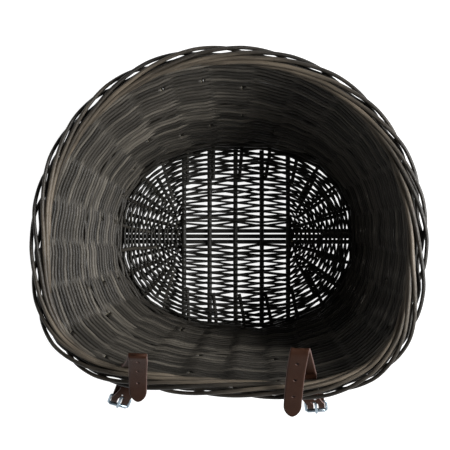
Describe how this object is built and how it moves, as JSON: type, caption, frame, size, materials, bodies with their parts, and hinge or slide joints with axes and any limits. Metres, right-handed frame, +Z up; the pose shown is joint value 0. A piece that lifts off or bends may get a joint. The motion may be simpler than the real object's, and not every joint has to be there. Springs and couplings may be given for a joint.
{
  "type": "wicker handlebar pet basket",
  "caption": "D-shaped dark willow basket with an open woven oval floor, flared randed walls, a rolled rod border and two buckled leather straps on its flat side.",
  "frame": {"origin": "centre of the oval base's underside, on the surface it stands on", "axes": "+X across the width, to the right seen from the strap side; -Y towards the flat side with the straps, +Y towards the round back; +Z up"},
  "size_m": [0.4414, 0.4214, 0.2765],
  "materials": {
    "willow": "dark stained, unpeeled willow rods with a dull sheen",
    "border_willow": "dark stained thicker willow rods, rubbed paler on top",
    "stick": "dark stained straight willow sticks",
    "leather": "smooth dark brown strap leather with paler cut edges",
    "buckle_steel": "nickel plated steel, lightly brushed",
    "rivet_steel": "plated steel rivet"
  },
  "bodies": {
    "basket": {"base_cross_stick_1": "stick", "base_cross_stick_2": "stick", "base_cross_stick_3": "stick", "base_cross_stick_4": "stick", "base_cross_stick_5": "stick", "base_long_stick_1": "stick", "base_long_stick_2": "stick", "base_long_stick_3": "stick", "base_end_sticks_left": "stick", "base_end_sticks_right": "stick", "base_weave": "willow", "foot_wale": "willow", "wall_lower_weave": "willow", "wall_upper_weave": "willow", "rim_border": "border_willow", "side_stake_01": "stick", "side_stake_02": "stick", "side_stake_03": "stick", "side_stake_04": "stick", "side_stake_05": "stick", "side_stake_06": "stick", "side_stake_07": "stick", "side_stake_08": "stick", "side_stake_09": "stick", "side_stake_10": "stick", "side_stake_11": "stick", "side_stake_12": "stick", "side_stake_13": "stick", "side_stake_14": "stick", "side_stake_15": "stick", "side_stake_16": "stick", "side_stake_17": "stick", "side_stake_18": "stick", "side_stake_19": "stick", "side_stake_20": "stick", "side_stake_21": "stick", "side_stake_22": "stick", "side_stake_23": "stick", "side_stake_24": "stick", "side_stake_25": "stick", "left_strap_limb": "leather", "right_strap_limb": "leather"},
    "left_tail": {"left_strap_tail": "leather"},
    "left_flap": {"left_buckle_leather": "leather", "left_buckle_rivet": "rivet_steel"},
    "left_frame": {"left_buckle_frame": "buckle_steel"},
    "left_roller": {"left_buckle_roller": "buckle_steel"},
    "left_prong": {"left_buckle_prong": "buckle_steel"},
    "right_tail": {"right_strap_tail": "leather"},
    "right_flap": {"right_buckle_leather": "leather", "right_buckle_rivet": "rivet_steel"},
    "right_frame": {"right_buckle_frame": "buckle_steel"},
    "right_roller": {"right_buckle_roller": "buckle_steel"},
    "right_prong": {"right_buckle_prong": "buckle_steel"}
  },
  "joints": [
    {"name": "left_tail_bend", "type": "hinge", "parent": "basket", "child": "left_tail", "pos_m": [-0.086, -0.1215, 0.275], "axis": [-1, 0, 0], "range_deg": [0, 140]},
    {"name": "left_flap_bend", "type": "hinge", "parent": "basket", "child": "left_flap", "pos_m": [-0.112, -0.174, 0.188], "axis": [-1, 0, 0], "range_deg": [-45, 35]},
    {"name": "left_frame_hinge", "type": "hinge", "parent": "left_flap", "child": "left_frame", "pos_m": [-0.126, -0.18914, 0.17311], "axis": [-0.9272, 0.3031, 0.2202], "range_deg": [-35, 25]},
    {"name": "left_prong_hinge", "type": "hinge", "parent": "left_frame", "child": "left_prong", "pos_m": [-0.126, -0.18914, 0.17311], "axis": [-0.9272, 0.3031, 0.2202], "range_deg": [0, 90]},
    {"name": "left_roller_spin", "type": "hinge", "parent": "left_frame", "child": "left_roller", "pos_m": [-0.13143, -0.20001, 0.16521], "axis": [0.9272, -0.3031, -0.2202], "continuous": true},
    {"name": "right_tail_bend", "type": "hinge", "parent": "basket", "child": "right_tail", "pos_m": [0.082, -0.116, 0.26], "axis": [-1, 0, 0], "range_deg": [0, 140]},
    {"name": "right_flap_bend", "type": "hinge", "parent": "basket", "child": "right_flap", "pos_m": [0.093, -0.179, 0.188], "axis": [-1, 0, 0], "range_deg": [-45, 35]},
    {"name": "right_frame_hinge", "type": "hinge", "parent": "right_flap", "child": "right_frame", "pos_m": [0.102, -0.19009, 0.17605], "axis": [-0.9945, -0.0846, -0.0614], "range_deg": [-35, 25]},
    {"name": "right_prong_hinge", "type": "hinge", "parent": "right_frame", "child": "right_prong", "pos_m": [0.102, -0.19009, 0.17605], "axis": [-0.9945, -0.0846, -0.0614], "range_deg": [0, 90]},
    {"name": "right_roller_spin", "type": "hinge", "parent": "right_frame", "child": "right_roller", "pos_m": [0.10352, -0.20176, 0.16757], "axis": [0.9945, 0.0846, 0.0614], "continuous": true}
  ]
}
